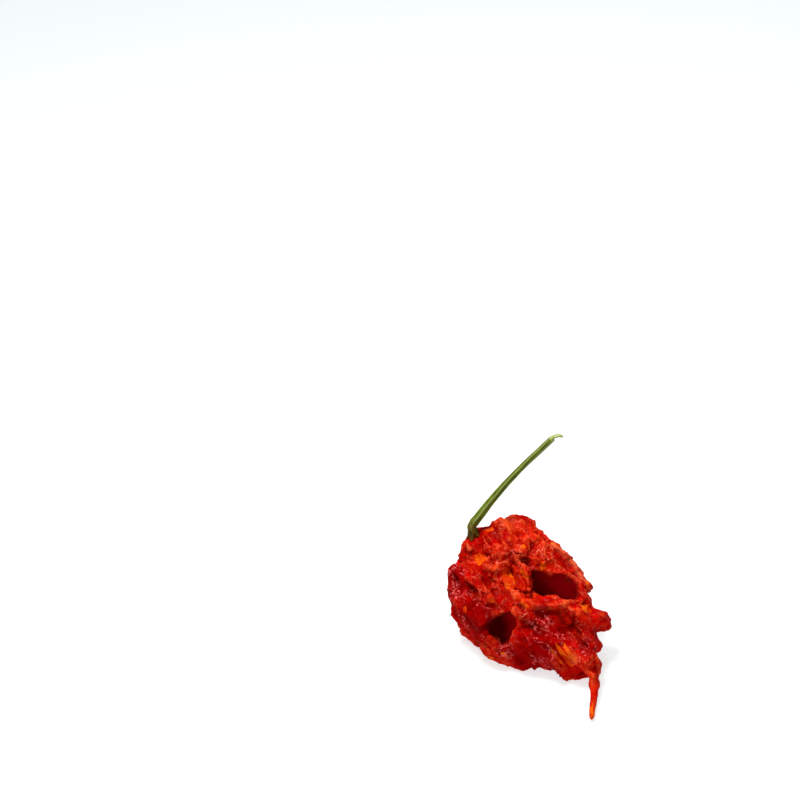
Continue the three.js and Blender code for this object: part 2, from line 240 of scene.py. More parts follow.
class Finish:
    """A material while its nodes are made."""

    def __init__(self, name):
        self.material = bpy.data.materials.new(name)
        self.material.use_nodes = True
        self.tree = self.material.node_tree
        self.tree.nodes.clear()

    def add(self, kind, settings=None, inputs=None, output=0):
        """A node of that kind: its settings come first, then the values or links of its sockets."""
        node = self.tree.nodes.new(kind)
        for name, value in (settings or {}).items():
            setattr(node, name, value)
        by_identifier = {socket.identifier: socket for socket in node.inputs}
        for name, value in (inputs or {}).items():
            socket = by_identifier.get(name) or node.inputs[name]
            if isinstance(value, Signal):
                self.tree.links.new(value.socket, socket)
            elif socket.type == "VECTOR" and not hasattr(value, "__len__"):
                socket.default_value = (value, value, value)
            else:
                socket.default_value = value
        return Signal(self, node.outputs[output]) if node.outputs else None

    def place(self):
        """Where the shaded point is, in millimetres."""
        return self.add("ShaderNodeTexCoord", output="Object") * (1 / MM)

    def measure(self, name):
        """A number that the mesh carries on its points."""
        return self.add("ShaderNodeAttribute", {"attribute_name": name}, output="Fac")

    def stretched(self, place):
        """The place in a space where what grows from crown to tail is as long as it is wide."""
        run = self.add("ShaderNodeVectorMath", {"operation": "DOT_PRODUCT"}, {0: place, 1: GROWTH}, output=1)
        parts = {axis: run * float(g) for axis, g in zip("XYZ", GROWTH)}
        shift = self.add("ShaderNodeCombineXYZ", None, parts)
        return place - (1 - 1 / STRETCH) * shift

    def cells(self, place, size):
        """A colour of its own for each of many scattered cells about `size` mm across."""
        inputs = {"Vector": place, "Scale": 1 / size}
        return self.add("ShaderNodeTexVoronoi", {"feature": "F1"}, inputs, output=1)

    def facets(self, place, size):
        """A number of its own for each cell."""
        return self.add("ShaderNodeSeparateColor", None, {"Color": self.cells(place, size)})

    def clouds(self, place, size, detail=2, roughness=0.5):
        """Soft noise about 0.5, with features about `size` mm across."""
        settings = {"noise_dimensions": "3D"}
        inputs = {"Vector": place, "Scale": 1 / size, "Detail": detail, "Roughness": roughness}
        return self.add("ShaderNodeTexNoise", settings, inputs)

    def wrinkles(self, place, cell, size):
        """Short lines about `size` mm wide that run the same way within each scattered cell, about 0.5."""
        leans = {0: self.cells(place, cell), 1: (0.5, 0.5, 0.5)}
        lean = self.add("ShaderNodeVectorMath", {"operation": "SUBTRACT"}, leans)
        way = self.add("ShaderNodeVectorMath", {"operation": "NORMALIZE"}, {0: lean})
        run = self.add("ShaderNodeVectorMath", {"operation": "DOT_PRODUCT"}, {0: place, 1: way}, output=1)
        squeeze = {0: way, "Scale": run * WRINKLE_SQUEEZE}
        shift = self.add("ShaderNodeVectorMath", {"operation": "SCALE"}, squeeze)
        return self.clouds(place - shift, size, WRINKLE_DETAIL)

    def mixed(self, share, under, over):
        """One colour laid over another by a share from 0 to 1."""
        inputs = {"Factor_Float": share, "A_Color": under, "B_Color": over}
        return self.add("ShaderNodeMix", {"data_type": "RGBA"}, inputs, output=2)

    def bumped(self, height, distance, strength):
        """The normal of a surface that is raised by height (0 to 1) times distance in millimetres."""
        inputs = {"Height": height, "Distance": distance * MM, "Strength": strength}
        return self.add("ShaderNodeBump", None, inputs)

    def done(self, inputs):
        """The material, with its shader's inputs."""
        shader = self.add("ShaderNodeBsdfPrincipled", None, inputs)
        self.add("ShaderNodeOutputMaterial", None, {"Surface": shader})
        return self.material


def pod_finish():
    """Dried skin: glossy red, orange where raised and dried (partly painted light), painted glints on
    wrinkles, painted shade in hollows.
    """
    finish = Finish("dried_pod_skin")
    place = finish.place()
    along = finish.stretched(place + (finish.clouds(place, WARP_SIZE) - 0.5) * WARP_REACH)
    crest = finish.measure("crest")
    height = finish.measure("height")
    hollow = finish.measure("hollow")
    shaded = finish.measure("shaded")
    # where the skin is dried and orange, partly as painted light where it is lit
    dry = finish.measure("dry")
    orange = finish.measure("orange")
    calm = finish.measure("calm")
    pale = finish.measure("pale")
    # where painted shade darkens the skin and painted shine glints on it
    shade_and_shine = (0 - dry).rising(0.0, 0.8)

    patches = finish.clouds(along, PATCH_SIZE, detail=4, roughness=0.6)
    spread = finish.clouds(along, SPREAD_SIZE, detail=3, roughness=0.6)
    facets = finish.facets(along, FACET_SIZE)
    tone = finish.facets(along, TONE_SIZE)
    clusters = finish.clouds(along, CLUSTER_SIZE, detail=2).rising(0.46, 0.56) * (1 - 0.8 * calm)
    wrinkles = finish.wrinkles(place, *BROAD_WRINKLES)
    fine_wrinkles = finish.wrinkles(place, *FINE_WRINKLES)
    shine_wrinkles = finish.wrinkles(place, *SHINE_WRINKLES)
    ridges = wrinkles.rising(0.58 - 0.04 * dry, 0.66 - 0.04 * dry)
    # wrinkles that are raised as bumps and get painted glint streaks
    creased = ridges * (0.2 + 0.8 * clusters) * (1 - 0.7 * shade_and_shine)
    # the skin's low places, which get painted shade
    low = (0.5 - height + (patches - 0.5) * 1.2).rising(0.0, 0.6)
    # raised places, which get painted light
    high = (height - 0.5 + (spread - 0.5) * 1.4).rising(0.05, 0.6)
    solid = (orange + (spread - 0.5) * 0.8).rising(0.42, 0.56)
    # where the painted highlight along the ridges lies
    crest_highlights = crest.rising(0.3, 0.95) * spread.rising(0.4, 0.6)
    tint = (0.35 + 0.65 * facets) * (1 - 0.7 * solid)
    # painted glints on the fine wrinkles of raised places
    glints = fine_wrinkles.rising(0.6, 0.68) * clusters * height.rising(0.4, 0.6) * (1 - 0.6 * shade_and_shine)
    # painted shine on the belly's wrinkles
    shine = shade_and_shine.rising(0.1, 0.5) * clusters * shine_wrinkles.rising(0.54, 0.62)
    # how dark the hollows' painted shade is
    gloom = finish.measure("gloom") + (finish.clouds(place, GLOOM_SIZE) - 0.5) * 0.5
    flap = finish.mixed(facets.rising(0.1, 0.9), FLAP_ORANGE, FLAP_YELLOW)
    # painted shade in the hollows
    hollow_shade = finish.mixed(gloom.rising(0.1, 1.0), HOLLOW_SHADE_LIGHT, HOLLOW_SHADE_DARK)

    colour = finish.mixed(patches.rising(0.36, 0.64), RED, BRIGHT_RED)
    layers = [
        # the dried skin's orange-reds, with painted light on raised places
        ((dry * (0.2 + 0.8 * facets) * 0.5 + high * 0.2).rising(0, 1), DRY_LIT_RED),
        (high * dry.rising(0.1, 1.0) * 0.4 * facets, DRY_LIT_ORANGE),
        (tone.rising(0.55, 0.9) * (0.25 + 0.45 * dry) * (1 - shade_and_shine), FACET_ORANGE),
        ((1 - tone).rising(0.6, 0.9) * (0.6 - 0.3 * dry) * (1 - calm), FACET_DARK),
        # painted shade on the belly, the left side and under the lip
        (shade_and_shine * 0.75, SIDE_SHADE_RED),
        # painted shade in the low places
        (low * 0.7, LOW_SHADE_RED),
        (solid * 0.85, flap),
        # painted highlight along the ridges
        (crest_highlights * (0.25 + 0.35 * dry) * (1 - shade_and_shine), CREST_HIGHLIGHT),
        # painted glint streaks along the wrinkles
        (creased * (0.42 + 0.36 * dry) * tint, CREASE_GLINT),
        # painted highlight along the fold tops
        (pale * (0.55 + 0.4 * spread.rising(0.4, 0.6)), FOLD_HIGHLIGHT),
        # painted glints
        (glints * (0.55 + 0.3 * dry) * tint, GLINT_PINK),
        # painted shine
        (shine * 0.85, SHINE_PINK),
        (shaded * 0.6, SHADE_RED),
        # painted shade in the hollows
        (hollow, hollow_shade),
    ]
    for share, over in layers:
        colour = finish.mixed(share, colour, over)
    relief = creased * 0.5 + wrinkles * 0.8 + shine_wrinkles * 0.6 + fine_wrinkles * 0.15
    relief = relief * (0.4 + 0.6 * clusters)
    return finish.done(
        {
            "Base Color": colour,
            "Roughness": 0.14 + 0.16 * spread + 0.4 * hollow,
            "Normal": finish.bumped(relief, RELIEF_DEPTH, 0.9),
            "IOR": 1.07,
            "Specular Tint": (1, 0.5, 0.45, 1),
            "Subsurface Weight": 0.1,
            "Subsurface Radius": (1.0, 0.1, 0.03),
            "Subsurface Scale": SCATTER_DEPTH * MM,
            # painted light: the hollows glow faintly in the colour of their painted shade
            "Emission Color": finish.mixed(hollow, BLACK, hollow_shade),
            "Emission Strength": 1,
        }
    )


def stem_finish():
    """Dried green stalk: a painted highlight along its ridges, yellow-brown at its foot and pale where it is
    torn.
    """
    finish = Finish("stem_fibre")
    place = finish.place()
    ridge = finish.measure("ridge")
    foot = finish.measure("foot")
    torn = finish.measure("torn")
    patches = finish.clouds(place, 3.0, detail=3)
    colour = finish.mixed(patches.rising(0.3, 0.7), STEM_GREEN, STEM_LIGHT)
    # painted highlight along the ribs
    colour = finish.mixed(ridge.rising(0.55, 1.0) * 0.8, colour, RIB_HIGHLIGHT)
    colour = finish.mixed(foot * 0.8, colour, FOOT_BROWN)
    colour = finish.mixed(torn, colour, TORN_PALE)
    size, depth = STEM_GRAIN
    grain = finish.clouds(place, size, detail=3)
    return finish.done(
        {
            "Base Color": colour,
            "Roughness": 0.36 + 0.2 * patches,
            "Normal": finish.bumped(grain, depth, 0.5),
            "IOR": 1.3,
        }
    )


def calyx_finish():
    """Dull, dry husk, browner at its rim."""
    finish = Finish("calyx_husk")
    place = finish.place()
    rim = finish.measure("rim")
    patches = finish.clouds(place, 1.2, detail=3)
    colour = finish.mixed(patches.rising(0.3, 0.7), HUSK_DARK, HUSK_OLIVE)
    colour = finish.mixed(rim.rising(0.7, 1.0) * 0.7, colour, HUSK_RIM)
    size, depth = HUSK_GRAIN
    return finish.done(
        {
            "Base Color": colour,
            "Roughness": 0.6 + 0.2 * patches,
            "Normal": finish.bumped(finish.clouds(place, size, detail=3), depth, 0.6),
            "IOR": 1.15,
        }
    )


# ---- The pod --------------------------------------------------------------------------------------------

SHADE_RAYS = 40  # directions looked into from each point of the skin, all round
COARSE = 0.6  # spacing of the skin's points while its large folds form
FINE = 0.295  # and while its small wrinkles form
OVERHANG = 0.4  # how far the skin's folds may stand out of the pod's box before they are pressed back
EXCESS = 0.12  # the skin is this share wider than the shrunken flesh under it
SPREAD_STEP = 0.6  # smoothing moves each point this share of the way to its neighbours,
RETURN_STEP = 0.5  # and then this share back, which keeps the size
EDGE_WIDTH = 0.08  # of the raised edges between facets, as a share of a facet
CELL_APART = 61  # makes neighbouring facets lean in unrelated directions
RAY_GAP = 0.3  # rays start this far off the coarse skin,
FINE_RAY_GAP = 0.2  # and this far off the fine one
GRAZING = 0.2  # rays closer to the skin than this cosine aren't looked along
SHADE_REACH = 9  # what lies farther off than this doesn't shade the skin
TAIL_LENGTH = 14
TAIL_BLEND = 4
TIP_LENGTH = 9
TAIL_SHIFT = (-0.4, 0, 0)
TAIL_THINNER = 0.15
TIP_THICKER = 0.25
FLAP_RISE = 8  # at most
HIGHLIGHT_REACH = 0.6  # of the painted highlight along a fold's top
CREST_CURVE = 0.035  # how sharply a point is curved that counts as fully crested
EVEN_ROUNDS = 40  # of smoothing, for the even surface that heights are measured from
EVEN_STEP = 0.8
HEIGHT_SPAN = 0.8
PRESS_BACK = 0.7  # the share of an overhang that is pressed back
OPEN_GLOOM = 0.6  # how dark a hollow's painted shade is where none of the drawn ones is

# Raised folds of the skin, each as the image pixels it passes through, with its height and half width.
RAISED_FOLDS = [
    ([(510, 591), (520, 600), (532, 606), (545, 607), (554, 606)], 1.2, 0.7),  # the lip under the cave
    # the edge behind the cave
    ([(553, 545), (562, 552), (568, 558), (575, 565), (578, 570), (581, 576), (582, 580)], 0.4, 0.4),
    ([(520, 564), (529, 574), (530, 582), (526, 591)], 0.8, 0.8),  # the cave's left edge
    ([(554, 607), (566, 603), (580, 601)], 0.8, 0.9),  # from the lip out to the nose
    ([(485, 560), (500, 552), (518, 558), (535, 562)], 0.45, 0.8),  # across the shoulder
    ([(470, 590), (484, 600), (500, 603), (513, 594)], 0.6, 1.0),  # over the pit
    ([(537, 640), (555, 644), (573, 655), (586, 668)], 0.6, 0.9),  # down to the tail
    ([(583, 676), (587, 679)], -1.1, 1.3),  # the notch where the tail comes off
]

HIGHLIGHT_FOLDS = 3  # the first ones get a painted highlight along the top

# Bulges and dents of the pod's outline: the image pixel in the middle, how far right and up, and the reach.
BULGES = [
    ((456, 561), (-2.0, 0.4), 3.2),
    ((447, 596), (-1.2, 0.0), 3.0),
    ((461, 636), (-1.1, -0.9), 2.8),
    ((537, 670), (0.1, 1.3), 2.0),
    ((598, 634), (-1.0, 0.8), 1.8),
    ((595, 606), (-0.7, -0.7), 1.8),
    ((590, 580), (0.9, 0.0), 2.2),
    ((603, 667), (1.0, 0.0), 1.6),
    ((511, 512), (0.0, 0.8), 2.5),
    ((601, 678), (-0.6, 0.0), 2.0),
]

# Hollows with painted shade, each as the image pixels round its mouth, how far its floor is sunk, and the
# pixels where that shade is darkest and lightest.
HOLLOWS = [
    (
        [(529, 571), (543, 572), (552, 576), (561, 574), (569, 575), (576, 580), (579, 588), (579, 597)]
        + [(574, 601), (565, 598), (557, 597), (550, 593), (540, 592), (531, 593), (530, 583)],
        3.0,
        (525, 594),
        (588, 574),
    ),
    (
        [(486, 637), (489, 625), (497, 616), (504, 612), (512, 612), (519, 617), (519, 625)]
        + [(512, 639), (504, 648), (497, 645), (498, 636), (491, 636)],
        2.5,
        (499, 628),
        (524, 624),
    ),
    ([(513, 552), (520, 552), (522, 556), (515, 558)], 0.8, (517, 555), (530, 555)),
]

# A flat flap that stands out beside the cave: the image pixels round it and three that it lies level with.
FLAP = [(513, 562), (521, 560), (528, 569), (532, 579), (530, 593), (520, 592), (513, 585)]
FLAP_LEVEL = [(510, 576), (517, 596), (519, 556)]

# Where the skin is dried and orange with painted light on it, where it has painted shade and painted shine,
# where it
# is in strong painted shade, or smooth: the image pixel in the middle and the reach.
DRY_LIT_SPOTS = [((520, 528), 9), ((545, 548), 7), ((500, 560), 5), ((470, 560), 4), ((515, 600), 5)]
DRY_LIT_SPOTS += [((583, 606), 3.5), ((572, 656), 3.5), ((490, 655), 4), ((565, 605), 4), ((512, 570), 4)]
DRY_LIT_SPOTS += [((532, 565), 3), ((497, 583), 4), ((588, 672), 4)]
# these spots get painted shade and painted shine
SHADE_AND_SHINE_SPOTS = [((530, 655), 6), ((545, 640), 7), ((474, 622), 6), ((545, 613), 3), ((503, 652), 3)]
SHADE_AND_SHINE_SPOTS += [((585, 650), 3), ((454, 570), 5), ((455, 592), 5), ((554, 670), 3)]
DEEP_SPOTS = [((474, 533), 2.3), ((484, 528), 1.2), ((494, 608), 2.4), ((487, 612), 2.0), ((512, 548), 1.2)]
DEEP_SPOTS += [((482, 628), 1.5)]
SMOOTH_SPOTS = [((602, 620), 5.5), ((606, 616), 5), ((580, 672), 4), ((543, 600), 2), ((518, 660), 3)]
SMOOTH_SPOTS += [((548, 661), 3.5)]

# Where the skin is all orange, each as the image pixels round it.
ORANGE_FLAPS = [
    [(503, 567), (508, 567), (511, 573), (515, 580), (515, 588), (510, 591), (506, 588)]
    + [(503, 580), (502, 573)],
    [(473, 555), (479, 553), (485, 555), (487, 559), (482, 563), (480, 566), (476, 563)],
    [(519, 569), (523, 569), (528, 574), (531, 578), (529, 581), (523, 577)],
    [(521, 599), (526, 602), (530, 607), (526, 608), (521, 604)],
    [(520, 546), (524, 544), (526, 547), (523, 550)],
    [(540, 562), (545, 561), (546, 569), (541, 571)],
    [(463, 607), (466, 606), (467, 613), (463, 613)],
    [(585, 580), (589, 580), (590, 585), (586, 586)],
    [(582, 604), (588, 605), (592, 612), (586, 613), (582, 609)],
    [(554, 643), (558, 645), (568, 657), (574, 667), (570, 667), (560, 654)],
    [(562, 642), (565, 643), (571, 653), (577, 662), (573, 660), (566, 652)],
    [(550, 648), (554, 650), (560, 659), (566, 666), (561, 664), (553, 655)],
    [(490, 599), (495, 600), (494, 603), (488, 602)],
    [(500, 652), (506, 652), (508, 657), (502, 657)],
    [(489, 655), (495, 658), (494, 662), (490, 660)],
    [(459, 544), (463, 545), (463, 549), (459, 548)],
    [(552, 540), (560, 546), (558, 549), (551, 544)],
    [(485, 530), (492, 527), (494, 530), (487, 533)],
]


def points_of(mesh):
    """A mesh's points as rows of x, y and z in millimetres."""
    places = np.empty(len(mesh.vertices) * 3)
    mesh.vertices.foreach_get("co", places)
    return places.reshape(-1, 3) / MM


def remeshed(source, spacing):
    """A new mesh of even quads over another object's shape."""
    modifier = source.modifiers.new("even", "REMESH")
    modifier.mode = "VOXEL"
    modifier.voxel_size = spacing * MM
    shape = source.evaluated_get(bpy.context.evaluated_depsgraph_get())
    mesh = bpy.data.meshes.new_from_object(shape)
    source.modifiers.remove(modifier)
    return mesh


class Skin:
    """A closed mesh of quads as arrays, in millimetres."""

    def __init__(self, mesh):
        self.mesh = mesh
        self.points = points_of(mesh)
        self.count = len(self.points)
        edges = np.empty(len(mesh.edges) * 2, np.int32)
        mesh.edges.foreach_get("vertices", edges)
        self.starts, self.ends = edges.reshape(-1, 2).T
        self.neighbours = np.bincount(edges, minlength=self.count)
        corners = np.empty(len(mesh.loops), np.int32)
        mesh.loops.foreach_get("vertex_index", corners)
        self.quads = corners.reshape(-1, 4)

    def gathered(self, onto, values):
        """The sum of the rows of values that belong to each point."""
        return np.stack([np.bincount(onto, values[:, i], self.count) for i in range(3)], axis=1)

    def lift(self, values):
        """How far the mean of a point's neighbours lies from the point itself."""
        sums = self.gathered(self.starts, values[self.ends]) + self.gathered(self.ends, values[self.starts])
        return sums / self.neighbours[:, None] - values

    def normals(self):
        """The outward direction at each point."""
        corners = self.points[self.quads]
        across = np.cross(corners[:, 2] - corners[:, 0], corners[:, 3] - corners[:, 1])
        sums = sum(self.gathered(self.quads[:, i], across) for i in range(4))
        return sums / np.linalg.norm(sums, axis=1, keepdims=True)

    def smooth(self, rounds):
        """Evens the surface out and keeps its size."""
        for _ in range(rounds):
            self.points += SPREAD_STEP * self.lift(self.points)
            self.points -= RETURN_STEP * self.lift(self.points)

    def shrivel(self, wavelength, hold, suction, rounds, seed, freedom):
        """
        Wrinkles the skin. Its edges are too long for the flesh, so it buckles into folds about a wavelength
        apart, while it resists bending, is held to the flesh and is drawn in between its folds.
        """
        step, momentum, flaw = 0.12, 0.9, 0.02
        home = self.points.copy()
        out = self.normals()
        lengths = np.linalg.norm(home[self.ends] - home[self.starts], axis=1)
        bending = 8 * EXCESS * (wavelength / (2 * math.pi * lengths.mean())) ** 2
        flaws = np.random.default_rng(seed).standard_normal(self.count)
        points = home + out * (flaw * flaws)[:, None]
        speed = np.zeros_like(points)
        for _ in range(rounds):
            edges = points[self.ends] - points[self.starts]
            pull = edges * (1 - lengths * (1 + EXCESS) / np.linalg.norm(edges, axis=1))[:, None]
            force = self.gathered(self.starts, pull) - self.gathered(self.ends, pull)
            moved = points - home
            force -= bending * self.lift(self.lift(moved)) + hold * moved + suction * out
            speed = momentum * speed + step * force * freedom[:, None]
            points += speed
        self.points = points

    def crumple(self, size, lean, edge, seed, freedom):
        """
        Breaks the skin into facets about size mm across. They are tilted by lean and have edges raised by
        edge, both as shares of the size.
        """
        heights = np.empty(self.count)
        for i, place in enumerate((stretched(self.points) / size + seed).tolist()):
            place = Vector(place)
            (nearest, second, *_), (middle, *_) = noise.voronoi(place)
            slope = noise.cell_vector(middle * CELL_APART) - Vector((0.5, 0.5, 0.5))
            nearness = math.exp(-(second - nearest) / EDGE_WIDTH)
            heights[i] = 2 * lean * slope.dot(place - middle) + edge * nearness
        self.points += self.normals() * (heights * size * freedom)[:, None]

    def shade(self, reach):
        """How much of the view from each point is shut off by the pod itself, from 0 to 1."""
        tree = tree_of(self)
        turns = np.arange(SHADE_RAYS) * math.pi * (3 - math.sqrt(5))
        levels = 1 - 2 * (np.arange(SHADE_RAYS) + 0.5) / SHADE_RAYS
        spread = np.sqrt(1 - levels**2)
        rays = [Vector(ray) for ray in zip(spread * np.cos(turns), spread * np.sin(turns), levels)]
        shut = np.empty(self.count)
        for i, (point, out) in enumerate(zip(self.points.tolist(), self.normals().tolist())):
            out = Vector(out)
            start = Vector(point) + out * RAY_GAP
            ahead = [ray for ray in rays if ray.dot(out) > GRAZING]
            shut[i] = sum(tree.ray_cast(start, ray, reach)[0] is not None for ray in ahead) / len(ahead)
        return shut

    def write(self, **measures):
        """Puts the points back into the mesh, and the measures on them."""
        self.mesh.vertices.foreach_set("co", (self.points * MM).astype(np.float32).ravel())
        for name, values in measures.items():
            attribute = self.mesh.attributes.new(name, "FLOAT", "POINT")
            attribute.data.foreach_set("value", values.astype(np.float32))
        self.mesh.update()


def seen_at(tree, pixel):
    """The first point of a surface, in millimetres, that the camera sees at an image pixel."""
    hit = tree.ray_cast(camera.location / MM, camera.rotation_quaternion @ ray_to(pixel))[0]
    return None if hit is None else np.array(hit)


def in_sight(tree, points):
    """Which points the camera sees past a surface."""
    eye = camera.location / MM
    return np.array([tree.ray_cast(point, eye - Vector(point))[0] is None for point in points.tolist()])


def spots_over(points, tree, spots):
    """1 in the middle of each spot, given by an image pixel and a reach, fading to 0 outside it."""
    share = np.zeros(len(points))
    for pixel, reach in spots:
        middle = seen_at(tree, pixel)
        if middle is None:
            print("a spot misses the pod", pixel)
            continue
        share = np.maximum(share, np.exp(-((np.linalg.norm(points - middle, axis=1) / reach) ** 2)))
    return share


def pixels_of(points):
    """Where each point appears in the image."""
    seen = (points - np.array(camera.location) / MM) @ np.array(camera.rotation_quaternion.to_matrix())
    across, up = (seen[:, :2] / -seen[:, 2:] * LENS / SENSOR * IMAGE_WIDTH).T
    return np.stack([IMAGE_WIDTH / 2 + across, IMAGE_WIDTH / 2 - up], axis=1)


def inside(points, outline):
    """How far each point is inside an outline of image pixels as the camera sees it, in millimetres."""
    pixels = pixels_of(points)
    outline = np.array(outline, float)
    crossed = np.zeros(len(points), bool)
    for (x0, y0), (x1, y1) in zip(outline, np.roll(outline, -1, axis=0)):
        if y0 != y1:
            level = (pixels[:, 1] >= min(y0, y1)) & (pixels[:, 1] < max(y0, y1))
            crossed ^= level & (pixels[:, 0] < x0 + (pixels[:, 1] - y0) / (y1 - y0) * (x1 - x0))
    depth = distance_to(pixels, [*outline, outline[0]]) / PIXELS_PER_MM
    return np.where(crossed, depth, -depth)


def distance_to(points, line):
    """How far each point is from a line through several places."""
    nearest = np.full(len(points), np.inf)
    for start, end in zip(line, line[1:]):
        along = np.clip((points - start) @ (end - start) / ((end - start) @ (end - start)), 0, 1)
        away = np.linalg.norm(points - start - along[:, None] * (end - start), axis=1)
        nearest = np.minimum(nearest, away)
    return nearest


def eased(values, low, high):
    """0 below low, 1 above high and eased between them."""
    share = np.clip((values - low) / (high - low), 0, 1)
    return share * share * (3 - 2 * share)


def tree_of(skin):
    """The skin's faces, ready for rays and for nearest points, in millimetres."""
    return BVHTree.FromPolygons(skin.points.tolist(), skin.quads.tolist())


def make_pod():
    """The crumpled skin: its large folds form on a coarse mesh, and its small ones on a fine one over it."""
    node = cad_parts["pod"]
    low, high = [np.array(corner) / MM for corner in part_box("pod")]

    def tail_share(points):
        """0 on the body, rising to 1 on the tail, which stands out at the low-Y end."""
        return eased(low[1] + TAIL_LENGTH - points[:, 1], 0, TAIL_BLEND)

    def tip_share(points):
        """0 on the body and the tail's root, rising to 1 at the tail's tip."""
        return eased(low[1] + TIP_LENGTH - points[:, 1], 0, TIP_LENGTH)

    source = node.copy()
    source.data = node.data.copy()
    source.parent = None
    bpy.context.scene.collection.objects.link(source)
    coarse = Skin(remeshed(source, COARSE))
    coarse.smooth(4)
    tree = tree_of(coarse)
    out = coarse.normals()
    fold_lines = []
    for pixels, height, half_width in RAISED_FOLDS:
        line = [seen_at(tree, pixel) for pixel in pixels]
        if any(place is None for place in line):
            print("a raised fold misses the pod", pixels)
            continue
        fold_lines.append(line)
        rise = height * np.exp(-((distance_to(coarse.points, line) / half_width) ** 2))
        coarse.points += out * rise[:, None]
    right, up, _ = np.array(camera.rotation_quaternion.to_matrix()).T
    for pixel, (aside, upward), reach in BULGES:
        distance = np.linalg.norm(pixels_of(coarse.points) - pixel, axis=1) / PIXELS_PER_MM
        coarse.points += np.outer(np.exp(-((distance / reach) ** 2)), aside * right + upward * up)
    seen = in_sight(tree, coarse.points + out * RAY_GAP)
    shut = coarse.shade(SHADE_REACH)
    hollow = eased(shut, 0.66, 0.9)
    shaded = eased(shut, 0.4, 0.8)
    view = np.array(camera.location / MM) - coarse.points
    view /= np.linalg.norm(view, axis=1, keepdims=True)
    for outline, depth, _, _ in HOLLOWS:
        share = eased(inside(coarse.points, outline), -0.2, 0.9) * seen
        coarse.points -= view * (depth * share)[:, None]
        hollow = np.maximum(hollow, share)
    first, second, third = [seen_at(tree, pixel) for pixel in FLAP_LEVEL]
    across = np.cross(second - first, third - first)
    rise = np.clip(((first - coarse.points) @ across) / (view @ across), 0, FLAP_RISE)
    coarse.points += view * (rise * eased(inside(coarse.points, FLAP), -0.3, 0.3) * seen)[:, None]
    coarse.smooth(1)
    tail = tail_share(coarse.points)
    thicker = TIP_THICKER * tip_share(coarse.points) - TAIL_THINNER * tail
    coarse.points += coarse.normals() * thicker[:, None] + TAIL_SHIFT * tail[:, None]
    freedom = (1 - 0.97 * tail) * (1 - 0.9 * hollow)
    coarse.shrivel(wavelength=4.2, hold=0.05, suction=0.01, rounds=60, seed=5, freedom=freedom)
    coarse.write()
    coarse_tree = tree_of(coarse)

    source.data = coarse.mesh
    fine = Skin(remeshed(source, FINE))
    fine.smooth(2)
    nearest = [coarse_tree.find_nearest(point)[2] for point in fine.points.tolist()]
    hollow = hollow[coarse.quads[nearest]].mean(axis=1)
    shaded = shaded[coarse.quads[nearest]].mean(axis=1)
    shaded = np.maximum(shaded, spots_over(fine.points, tree, DEEP_SPOTS))
    gloom = np.full(fine.count, OPEN_GLOOM)
    for outline, _, dark, light in HOLLOWS:
        within = inside(fine.points, outline) > -1
        step = np.subtract(light, dark)
        gloom[within] = 1 - np.clip((pixels_of(fine.points[within]) - dark) @ step / (step @ step), 0, 1)
    freedom = (1 - 0.95 * tail_share(fine.points)) * (1 - 0.7 * hollow)
    freedom *= 1 - 0.8 * spots_over(fine.points, tree, SMOOTH_SPOTS)
    fine.crumple(size=6.0, lean=0.18, edge=0.06, seed=3, freedom=freedom)
    fine.crumple(size=3.0, lean=0.2, edge=0.08, seed=7, freedom=freedom)
    fine.smooth(1)
    fine.crumple(size=1.5, lean=0.07, edge=0.05, seed=11, freedom=freedom)
    over = np.maximum(low - OVERHANG - fine.points, 0) - np.maximum(fine.points - high - OVERHANG, 0)
    fine.points += PRESS_BACK * over
    fine.points[:, 2] = np.maximum(fine.points[:, 2], 0)

    out = fine.normals()
    curve = -(fine.lift(fine.points) * out).sum(axis=1)
    curve = curve[:, None] * np.ones(3)
    for _ in range(2):
        curve += 0.7 * fine.lift(curve)
    crest = eased(curve[:, 0], 0.0, CREST_CURVE)
    even = fine.points.copy()
    for _ in range(EVEN_ROUNDS):
        even += EVEN_STEP * fine.lift(even)
    height = 0.5 + ((fine.points - even) * out).sum(axis=1) / HEIGHT_SPAN
    flaps = np.max([eased(inside(fine.points, flap), -0.5, 0.5) for flap in ORANGE_FLAPS], axis=0)
    near = np.flatnonzero(flaps)
    flaps[near] *= in_sight(tree_of(fine), fine.points[near] + FINE_RAY_GAP * out[near])
    orange = np.maximum(flaps, 0.9 * tip_share(fine.points)) * (1 - hollow)
    # dried skin with painted light, against painted shade and shine
    dry = spots_over(fine.points, tree, DRY_LIT_SPOTS) - spots_over(fine.points, tree, SHADE_AND_SHINE_SPOTS)
    dry += 0.2 * tail_share(fine.points)
    highlight_lines = fold_lines[:HIGHLIGHT_FOLDS]
    pale = [np.exp(-((distance_to(fine.points, line) / HIGHLIGHT_REACH) ** 2)) for line in highlight_lines]
    calm = np.maximum(spots_over(fine.points, tree, SMOOTH_SPOTS), tail_share(fine.points))
    # the hollows' painted shade fades towards their lit side
    hollow = hollow * (0.5 + 0.5 * eased(gloom, 0, 0.5))
    fine.write(
        crest=crest,
        height=height,
        hollow=hollow,
        shaded=shaded,
        orange=orange,
        dry=dry,
        pale=np.max(pale, axis=0),
        calm=calm,
        gloom=gloom,
    )

    bpy.data.objects.remove(source)
    piece = bpy.data.objects.new("pod_skin", fine.mesh)
    bpy.context.scene.collection.objects.link(piece)
    fine.mesh.materials.clear()
    fine.mesh.materials.append(pod_finish())
    fine.mesh.shade_smooth()
    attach(piece, "root")
    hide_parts("pod")
    return fine


# ---- The stem and the calyx -----------------------------------------------------------------------------

